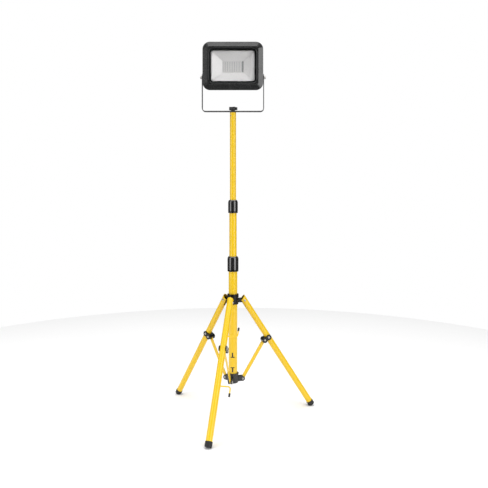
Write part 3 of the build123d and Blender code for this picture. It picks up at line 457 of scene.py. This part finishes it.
# ---- Tilt bolts -------------------------------------------------------------------------------
# Hexagon-headed bolts of zinc plated steel, one through each arm of the yoke into the lamp's ear.
# The outer face of each head is bevelled.
bolt_low, bolt_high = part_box("tilt_bolts")
bolt_middle = (bolt_low + bolt_high) / 2
hexagon_radius = (bolt_high.y - bolt_low.y) / 2
hexagon_depth = 0.0053
hexagon_bevel = 0.0009
bolt_shank_radius = 0.004
shank_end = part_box("lamp_housing")[1].x - 0.010
bolt_shank_length = bolt_high.x - hexagon_depth - shank_end
sideways = Matrix.Rotation(math.radians(90), 4, "Y")
bolts = bmesh.new()
for hand in (-1, 1):
    centre = Vector((hand * (bolt_high.x - hexagon_depth / 2), bolt_middle.y, bolt_middle.z))
    head = bmesh.ops.create_cone(
        bolts, cap_ends=True, segments=6, radius1=hexagon_radius, radius2=hexagon_radius,
        depth=hexagon_depth, matrix=Matrix.Translation(centre) @ sideways,
    )["verts"]
    outer = max({face for corner in head for face in corner.link_faces},
                key=lambda face: hand * face.calc_center_median().x)
    bmesh.ops.bevel(
        bolts, geom=outer.edges[:], offset=hexagon_bevel, segments=3, affect="EDGES", profile=0.5,
        material=-1,
    )
    centre = Vector((hand * (shank_end + bolt_shank_length / 2), bolt_middle.y, bolt_middle.z))
    bmesh.ops.create_cone(
        bolts, cap_ends=True, segments=32, radius1=bolt_shank_radius, radius2=bolt_shank_radius,
        depth=bolt_shank_length, matrix=Matrix.Translation(centre) @ sideways,
    )
tilt_bolt_heads = finished_piece("hexagon_tilt_bolts", bolts, "lamp", zinc)
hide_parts("tilt_bolts")

# ---- Feet, hook tips, gasket and gland --------------------------------------------------------
# Moulded rubber, dull and finely pored, and a little paler in patches of painted sheen. The foot
# caps are pushed on the legs' ends.
rubber = finish_with(
    "black rubber", moulded,
    {"Colour": (0.018, 0.018, 0.018, 1), "Sheen colour": (0.055, 0.053, 0.05, 1), "Gloss": 0.55,
     "Grain scale": 1100.0},
    relief=0.0001, specular=0.35,
)
dress(rubber, "hook_tips", "glass_gasket", "cable_gland")
boot_radius = 0.0138
boot_length = 0.019
boot_edge = 0.0018
pin_to_boot_end = 0.544
rim_turn = 1.0


def foot_boot(side):
    """A short cap on a leg's lower end, cut flat where the stand rests on it."""
    pin, bolt = (sum(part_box(f"{node}_{side}"), Vector()) / 2 for node in ("leg_rivet", "saddle_bolt"))
    down = (bolt - pin).normalized()
    middle = pin + down * (pin_to_boot_end - boot_length / 2)
    along_leg = down.to_track_quat("Z", "Y").to_matrix().to_4x4()
    boot = bmesh.new()
    bmesh.ops.create_cone(
        boot, cap_ends=True, segments=64, radius1=boot_radius, radius2=boot_radius,
        depth=boot_length, matrix=Matrix.Translation(middle) @ along_leg,
    )
    rims = []
    for line in boot.edges:
        first, second = ((corner.co - middle).dot(down) for corner in line.verts)
        if line.calc_face_angle(0) > rim_turn and first * second > 0:
            rims.append(line)
    bmesh.ops.bevel(
        boot, geom=rims, offset=boot_edge, segments=4, affect="EDGES", profile=0.5, material=-1,
    )
    floor_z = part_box(f"foot_cap_{side}")[0].z
    cut = bmesh.ops.bisect_plane(
        boot, geom=boot.verts[:] + boot.edges[:] + boot.faces[:], plane_co=(0, 0, floor_z),
        plane_no=(0, 0, -1), clear_outer=True,
    )["geom_cut"]
    cut_edges = [part for part in cut if isinstance(part, bmesh.types.BMEdge)]
    bmesh.ops.contextual_create(boot, geom=cut_edges)
    piece = finished_piece(f"foot_boot_{side}", boot, f"{side}_leg", rubber)
    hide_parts(f"foot_cap_{side}")


for side in sides:
    foot_boot(side)

# ---- Yoke ------------------------------------------------------------------------------------
# Flat steel bar bent to a U, in a thin graphite coat that shows the bar's brightness. It turns on
# top of the mast and holds the lamp between its arms.
graphite_coat = finish_with(
    "graphite coat", powder_coat,
    {"Colour": (0.17, 0.17, 0.175, 1), "Thin colour": (0.36, 0.36, 0.36, 1), "Gloss": 0.32,
     "Peel scale": 700.0, "Scratches": 0.35},
    relief=0.00005, metallic=0.8,
)
dress(graphite_coat, "yoke")


# ---- Lamp castings -----------------------------------------------------------------------------
# Bezel, finned tray and driver cover are die-cast aluminium in a fine black wrinkle coat, with a
# painted highlight that makes its ridges a little brighter.
def make_wrinkle():
    """Wrinkle coat: worm-like ridges with a patchy painted highlight, and dark hollows between them."""
    tree, start, end = effect_group(
        "wrinkle coat",
        {"Vector": None, "Colour": (0.02, 0.02, 0.02, 1), "Ridge highlight colour": (0.1, 0.1, 0.1, 1),
         "Gloss": 0.35, "Wrinkle scale": 320.0},
        {"Colour": "NodeSocketColor", "Roughness": "NodeSocketFloat", "Height": "NodeSocketFloat"},
    )
    place = start.outputs["Vector"]
    worms = add_node(tree, "ShaderNodeTexNoise", {
        "Vector": place, "Scale": start.outputs["Wrinkle scale"], "Detail": 4.0, "Roughness": 0.55,
        "Distortion": 1.4,
    })
    patches = add_node(tree, "ShaderNodeTexNoise",
                       {"Vector": place, "Scale": 34.0, "Detail": 7.0, "Roughness": 0.7})
    # The ridges' lighter colour is a painted highlight, stronger in some patches than in others.
    ridge_highlight = spread(tree, worms.outputs["Fac"], 0.45, 0.68, 0.0, 1.0)
    highlight_patches = spread(tree, patches.outputs["Fac"], 0.45, 0.68, 0.12, 1.0)
    share = calculate(tree, "MULTIPLY", ridge_highlight, highlight_patches)
    colour = blend_colour(tree, share, start.outputs["Colour"], start.outputs["Ridge highlight colour"])
    uneven = spread(tree, patches.outputs["Fac"], 0.3, 0.7, 0.1, -0.1)
    rough = calculate(tree, "ADD", start.outputs["Gloss"], uneven)
    tree.links.new(colour, end.inputs["Colour"])
    tree.links.new(rough, end.inputs["Roughness"])
    tree.links.new(worms.outputs["Fac"], end.inputs["Height"])
    return tree


wrinkle = make_wrinkle()
black_casting = finish_with(
    "black wrinkle coat", wrinkle,
    {"Colour": (0.006, 0.0065, 0.0065, 1), "Ridge highlight colour": (0.018, 0.019, 0.019, 1), "Gloss": 0.26},
    relief=0.00005, coat=0.5, specular=0.6,
)
dress(black_casting, "lamp_bezel", "lamp_housing", "driver_cover")

# ---- Reflector and light engine ----------------------------------------------------------------
# A folded reflector of satin aluminium round a white circuit board, which carries the rows of LEDs
# and a small grey connector.
satin_reflector = finish_with(
    "satin reflector", plated,
    {"Colour": (0.93, 0.92, 0.915, 1), "Dull colour": (0.91, 0.90, 0.895, 1), "Gloss": 0.45},
    relief=0.000002, metallic=0.45,
)
board_white = finish_with(
    "white solder mask", moulded,
    {"Colour": (0.94, 0.935, 0.93, 1), "Sheen colour": (0.95, 0.945, 0.94, 1), "Gloss": 0.4},
    relief=0.00002,
)
phosphor = finish_with(
    "phosphor", moulded,
    {"Colour": (0.84, 0.83, 0.78, 1), "Sheen colour": (0.87, 0.86, 0.81, 1), "Gloss": 0.45},
    relief=0.00001,
)
connector_grey = finish_with(
    "connector grey", moulded,
    {"Colour": (0.24, 0.24, 0.24, 1), "Sheen colour": (0.30, 0.30, 0.30, 1), "Gloss": 0.45},
    relief=0.00002,
)
dress(satin_reflector, "reflector")
dress(board_white, "led_board")
dress(connector_grey, "led_connector")

# ---- LEDs --------------------------------------------------------------------------------------
# Each LED is a white moulded frame with a shallow pool of phosphor. They are soldered to the board
# in rows of eight.
chip_low, chip_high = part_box("led_chips")
chip_size = 0.003
chip_height = chip_high.y - chip_low.y
chip_frame = chip_size * 0.14
pool_depth = chip_height * 0.2
columns, rows = 8, 6
span_x = chip_high.x - chip_low.x - chip_size
span_z = chip_high.z - chip_low.z - chip_size
leds = bmesh.new()
for column in range(columns):
    for row in range(rows):
        centre = Vector((
            chip_low.x + chip_size / 2 + column * span_x / (columns - 1),
            (chip_low.y + chip_high.y) / 2,
            chip_low.z + chip_size / 2 + row * span_z / (rows - 1),
        ))
        block = bmesh.ops.create_cube(
            leds, size=1.0,
            matrix=Matrix.Translation(centre) @ Matrix.Diagonal((chip_size, chip_height, chip_size, 1)),
        )["verts"]
        pool = min({face for corner in block for face in corner.link_faces}, key=how_far_back)
        bmesh.ops.inset_individual(leds, faces=[pool], thickness=chip_frame, depth=-pool_depth)
        pool.material_index = 1
led_packages = finished_piece("led_packages", leds, "lamp", board_white, phosphor)
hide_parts("led_chips")

# ---- Board tracks ------------------------------------------------------------------------------
# Tinned copper tracks run down the board on both sides of each column of LEDs, and show as faint
# stripes.
track_tin = finish_with(
    "tinned track", plated,
    {"Colour": (0.58, 0.58, 0.58, 1), "Dull colour": (0.52, 0.52, 0.52, 1), "Gloss": 0.45},
    relief=0.00001, metallic=0.2,
)
track_width = 0.0016
track_thickness = 0.0002
track_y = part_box("led_board")[0].y - 0.00012
track_size = (track_width, track_thickness, chip_high.z - chip_low.z, 1)
pitch = span_x / (columns - 1)
tracks = bmesh.new()
for column in range(columns + 1):
    centre = Vector((
        chip_low.x + chip_size / 2 + (column - 0.5) * pitch, track_y, (chip_low.z + chip_high.z) / 2,
    ))
    bmesh.ops.create_cube(
        tracks, size=1.0, matrix=Matrix.Translation(centre) @ Matrix.Diagonal(track_size),
    )
finished_piece("board_tracks", tracks, "lamp", track_tin)

# ---- Bezel bead -------------------------------------------------------------------------------
# A raised bead, cast with the bezel, that runs round its face just inside the bevelled edge. It is
# narrow, low and rounded over.
bezel_low, bezel_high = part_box("lamp_bezel")
bead_inset = 0.0195
bead_width = 0.0024
bead_height = 0.0007
bead_rounding = bead_height * 0.7
bead_corner = 0.0115
rim_bend = 0.5


def rounded_band(centre, width, height, corner_radius, band_width):
    """A flat band of even width, round a rounded rectangle that faces forward."""
    band = bmesh.new()
    bmesh.ops.create_grid(band, x_segments=1, y_segments=1, size=0.5)
    bmesh.ops.transform(
        band, verts=band.verts,
        matrix=Matrix.Translation(centre) @ face_forward @ Matrix.Diagonal((width, height, 1, 1)),
    )
    bmesh.ops.bevel(
        band, geom=band.verts[:], offset=corner_radius, segments=10, affect="VERTICES",
        profile=0.5, material=-1,
    )
    kept = bmesh.ops.inset_region(
        band, faces=band.faces[:], thickness=band_width, use_boundary=True,
    )["faces"]
    bmesh.ops.delete(band, geom=[face for face in band.faces if face not in kept], context="FACES")
    return band


bead = rounded_band(
    ((bezel_low.x + bezel_high.x) / 2, bezel_low.y, (bezel_low.z + bezel_high.z) / 2),
    bezel_high.x - bezel_low.x - 2 * bead_inset, bezel_high.z - bezel_low.z - 2 * bead_inset,
    bead_corner, bead_width,
)
raised = bmesh.ops.extrude_face_region(bead, geom=bead.faces[:])["geom"]
raised_corners = [part for part in raised if isinstance(part, bmesh.types.BMVert)]
bmesh.ops.translate(bead, verts=raised_corners, vec=(0, -bead_height, 0))
front_rim = [
    edge for edge in bead.edges
    if all(corner.co.y < bezel_low.y - bead_height / 2 for corner in edge.verts)
    and edge.calc_face_angle(0) > rim_bend
]
bmesh.ops.bevel(
    bead, geom=front_rim, offset=bead_rounding, segments=3, affect="EDGES", profile=0.5, material=-1,
)
bezel_bead = finished_piece("bezel_bead", bead, "lamp", black_casting)

# ---- Window trim --------------------------------------------------------------------------------
# A frame of smooth black plastic, pressed into the bezel's opening just behind its face, so that it
# hides the lip that holds the glass.
glass_low, glass_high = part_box("lamp_glass")
window_margin = 0.0049
window_width = glass_high.x - glass_low.x - 2 * window_margin
window_height = glass_high.z - glass_low.z - 2 * window_margin
window_x = (glass_low.x + glass_high.x) / 2
window_z = (glass_low.z + glass_high.z) / 2
trim_width = 0.0072
trim_depth = 0.0036
trim_sink = 0.0006
trim_corner = 0.0182
inner_reach_x = window_width / 2 + 0.0001
inner_reach_z = window_height / 2 + 0.0001
trim = rounded_band(
    (window_x, bezel_low.y + trim_sink, window_z),
    window_width + 2 * trim_width, window_height + 2 * trim_width, trim_corner, trim_width,
)
inner_edges = [
    edge for edge in trim.edges
    if edge.is_boundary and all(
        abs(corner.co.x - window_x) < inner_reach_x and abs(corner.co.z - window_z) < inner_reach_z
        for corner in edge.verts
    )
]
wall = bmesh.ops.extrude_edge_only(trim, edges=inner_edges)["geom"]
wall_corners = [part for part in wall if isinstance(part, bmesh.types.BMVert)]
bmesh.ops.translate(trim, verts=wall_corners, vec=(0, trim_depth, 0))
smooth_black = finish_with(
    "smooth black", moulded,
    {"Colour": (0.004, 0.0045, 0.0045, 1), "Sheen colour": (0.004, 0.004, 0.004, 1), "Gloss": 0.25},
    relief=0.000002, specular=0.05,
)
window_trim = finished_piece("window_trim", trim, "lamp", smooth_black)

# ---- Front glass ------------------------------------------------------------------------------
# A flat pane of toughened clear glass, held by the bezel's lip on a rubber gasket. The reflector
# and the LEDs show plainly through it.
clear_glass = bpy.data.materials.new("toughened glass")
clear_glass.use_nodes = True
glass_shader = clear_glass.node_tree.nodes["Principled BSDF"]
glass_shader.inputs["Base Color"].default_value = (1.0, 1.0, 1.0, 1)
glass_shader.inputs["Roughness"].default_value = 0.02
glass_shader.inputs["Transmission Weight"].default_value = 1.0
glass_shader.inputs["IOR"].default_value = 1.3
dress(clear_glass, "lamp_glass")

# ---- Floor and light ---------------------------------------------------------------------------
# A pale matt floor in a white room, lit by soft banks at both sides and by one overhead. The room
# looks white but adds only a little light of its own.
floor_radius = 2.2
room_light = 0.13
floor_mesh = bmesh.new()
bmesh.ops.create_circle(floor_mesh, cap_ends=True, segments=96, radius=floor_radius)
floor_data = bpy.data.meshes.new("floor")
floor_mesh.to_mesh(floor_data)
floor_mesh.free()
floor = bpy.data.objects.new("floor", floor_data)
floor_paint = bpy.data.materials.new("studio floor")
floor_paint.use_nodes = True
floor_shader = floor_paint.node_tree.nodes["Principled BSDF"]
floor_shader.inputs["Base Color"].default_value = (0.96, 0.96, 0.96, 1)
floor_shader.inputs["Roughness"].default_value = 0.9
floor_shader.inputs["Specular IOR Level"].default_value = 0.0
floor_data.materials.append(floor_paint)
bpy.context.scene.collection.objects.link(floor)

world = bpy.data.worlds.new("studio")
world.use_nodes = True
room = world.node_tree
seen = add_node(room, "ShaderNodeLightPath")
brightness = calculate(room, "MAXIMUM", seen.outputs["Is Camera Ray"], room_light)
room.links.new(brightness, room.nodes["Background"].inputs["Strength"])
room.nodes["Background"].inputs["Color"].default_value = (1, 1, 1, 1)
bpy.context.scene.world = world
bpy.context.scene.view_settings.view_transform = "Standard"


def soft_light(name, place, aim, size, power):
    """A rectangular soft light at a place, turned to what it lights."""
    lamp = bpy.data.lights.new(name, "AREA")
    lamp.shape = "RECTANGLE"
    lamp.size, lamp.size_y = size
    lamp.energy = power
    light = bpy.data.objects.new(name, lamp)
    light.location = place
    light.rotation_euler = (Vector(aim) - Vector(place)).to_track_quat("-Z", "Y").to_euler()
    bpy.context.scene.collection.objects.link(light)


soft_light("left_bank", (-2.35, -1.4, 1.3), (0, 0, 0.9), (1.6, 2.4), 30)
soft_light("right_bank", (1.9, -1.95, 1.3), (0, 0, 0.9), (1.8, 2.4), 38)
soft_light("overhead", (0.0, 0.0, 4.6), (0, 0, 0), (6.0, 6.0), 285)
